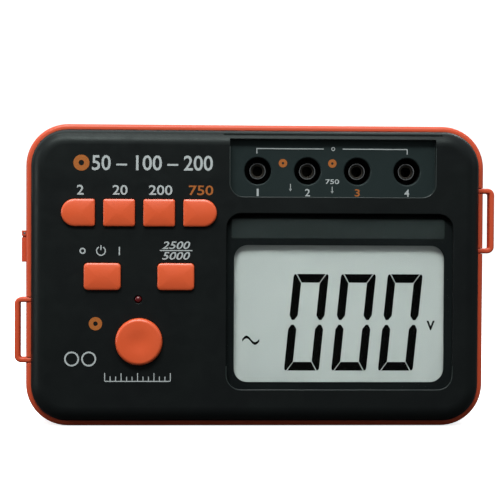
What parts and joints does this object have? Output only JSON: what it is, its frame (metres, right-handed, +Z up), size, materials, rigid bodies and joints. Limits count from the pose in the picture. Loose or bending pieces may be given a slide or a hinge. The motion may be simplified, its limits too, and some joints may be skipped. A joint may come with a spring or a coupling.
{
  "type": "insulation resistance tester",
  "caption": "Hand-held insulation resistance tester with a digital display, range keys, a press-to-test button and safety sockets for its test leads.",
  "frame": {"origin": "centre of the flat bottom that the tester stands on, midway between its sides and midway between face and back of the case", "axes": "+X to the right seen from the face, +Y from the face to the back, +Z up"},
  "size_m": [0.1836, 0.0665, 0.115],
  "materials": {
    "cover_black": "fine moulded texture",
    "shell_orange": "fine moulded texture",
    "window_clear": "clear polished plastic",
    "mask_black": "printed black behind the window",
    "display_grey": "reflective display glass",
    "frame_white": "plain moulding",
    "strip_grey": "conductive rubber",
    "board_green": "solder mask over glass laminate",
    "core_dark": "ferrite core and taped winding",
    "capacitor_can": "sleeved aluminium can",
    "part_black": "plain moulding",
    "lamp_red": "tinted clear plastic",
    "key_orange": "satin moulding",
    "plunger_white": "plain moulding",
    "spring_steel": "drawn wire",
    "jack_black": "smooth moulding",
    "socket_nickel": "nickel-plated brass",
    "screw_steel": "zinc-plated steel",
    "foot_rubber": "moulded rubber",
    "cell_jacket": "printed film jacket over a steel can",
    "stand_black": "fine moulded texture"
  },
  "bodies": {
    "case": {"adaptor_cover_pin": "screw_steel", "adaptor_socket": "part_black", "battery_cells": "cell_jacket", "battery_plates": "socket_nickel", "battery_springs": "spring_steel", "board_screws": "screw_steel", "buzzer": "part_black", "case_screws": "screw_steel", "control_chip": "part_black", "display_frame": "frame_white", "display_glass": "display_grey", "display_window": "window_clear", "elastomer_strips": "strip_grey", "front_cover": "cover_black", "hv_capacitors": "capacitor_can", "hv_transformer": "core_dark", "indicator_lamp": "lamp_red", "main_board": "board_green", "power_switch": "part_black", "range_switch_bank": "part_black", "rear_feet": "foot_rubber", "rear_shell": "shell_orange", "strap_loop_left": "shell_orange", "strap_loop_right": "shell_orange", "terminal_board": "board_green", "terminal_jack_1": "jack_black", "terminal_jack_2": "jack_black", "terminal_jack_3": "jack_black", "terminal_jack_4": "jack_black", "terminal_socket_1": "socket_nickel", "terminal_socket_2": "socket_nickel", "terminal_socket_3": "socket_nickel", "terminal_socket_4": "socket_nickel", "test_spring": "spring_steel", "test_switch": "part_black", "voltage_switch": "part_black", "window_mask": "mask_black"},
    "range_key_1": {"range_key_1": "key_orange", "range_plunger_1": "plunger_white"},
    "range_key_2": {"range_key_2": "key_orange", "range_plunger_2": "plunger_white"},
    "range_key_3": {"range_key_3": "key_orange", "range_plunger_3": "plunger_white"},
    "range_key_4": {"range_key_4": "key_orange", "range_plunger_4": "plunger_white"},
    "power_button": {"power_button": "key_orange", "power_plunger": "plunger_white"},
    "voltage_button": {"voltage_button": "key_orange", "voltage_plunger": "plunger_white"},
    "test_button": {"test_button": "key_orange", "test_plunger": "plunger_white"},
    "battery_door": {"battery_door": "shell_orange", "door_screws": "screw_steel"},
    "tilt_stand": {"tilt_stand": "stand_black"},
    "adaptor_cover": {"adaptor_cover": "shell_orange"}
  },
  "joints": [
    {"name": "range_key_1_press", "type": "slide", "parent": "case", "child": "range_key_1", "axis": [0, 1, 0], "range_m": [0, 0.0025], "stiffness_N_per_m": 500, "springref_m": -0.002},
    {"name": "range_key_2_press", "type": "slide", "parent": "case", "child": "range_key_2", "axis": [0, 1, 0], "range_m": [0, 0.0025], "stiffness_N_per_m": 500, "springref_m": -0.002},
    {"name": "range_key_3_press", "type": "slide", "parent": "case", "child": "range_key_3", "axis": [0, 1, 0], "range_m": [0, 0.0025], "stiffness_N_per_m": 500, "springref_m": -0.002},
    {"name": "range_key_4_press", "type": "slide", "parent": "case", "child": "range_key_4", "axis": [0, 1, 0], "range_m": [0, 0.0025], "stiffness_N_per_m": 500, "springref_m": -0.002},
    {"name": "power_press", "type": "slide", "parent": "case", "child": "power_button", "axis": [0, 1, 0], "range_m": [0, 0.0025], "stiffness_N_per_m": 500, "springref_m": -0.002},
    {"name": "voltage_press", "type": "slide", "parent": "case", "child": "voltage_button", "axis": [0, 1, 0], "range_m": [0, 0.0025], "stiffness_N_per_m": 500, "springref_m": -0.002},
    {"name": "test_press", "type": "slide", "parent": "case", "child": "test_button", "axis": [0, 1, 0], "range_m": [0, 0.0025], "stiffness_N_per_m": 700, "springref_m": -0.002, "deforming": ["test_spring"]},
    {"name": "battery_door_lift", "type": "slide", "parent": "case", "child": "battery_door", "axis": [0, 1, 0], "range_m": [0, 0.025]},
    {"name": "tilt_stand_swing", "type": "hinge", "parent": "case", "child": "tilt_stand", "pos_m": [0, 0.0295, 0.092], "axis": [1, 0, 0], "range_deg": [0, 62]},
    {"name": "adaptor_cover_swing", "type": "hinge", "parent": "case", "child": "adaptor_cover", "pos_m": [-0.0886, -0.0074, 0.07335], "axis": [0, 1, 0], "range_deg": [0, 110]}
  ]
}
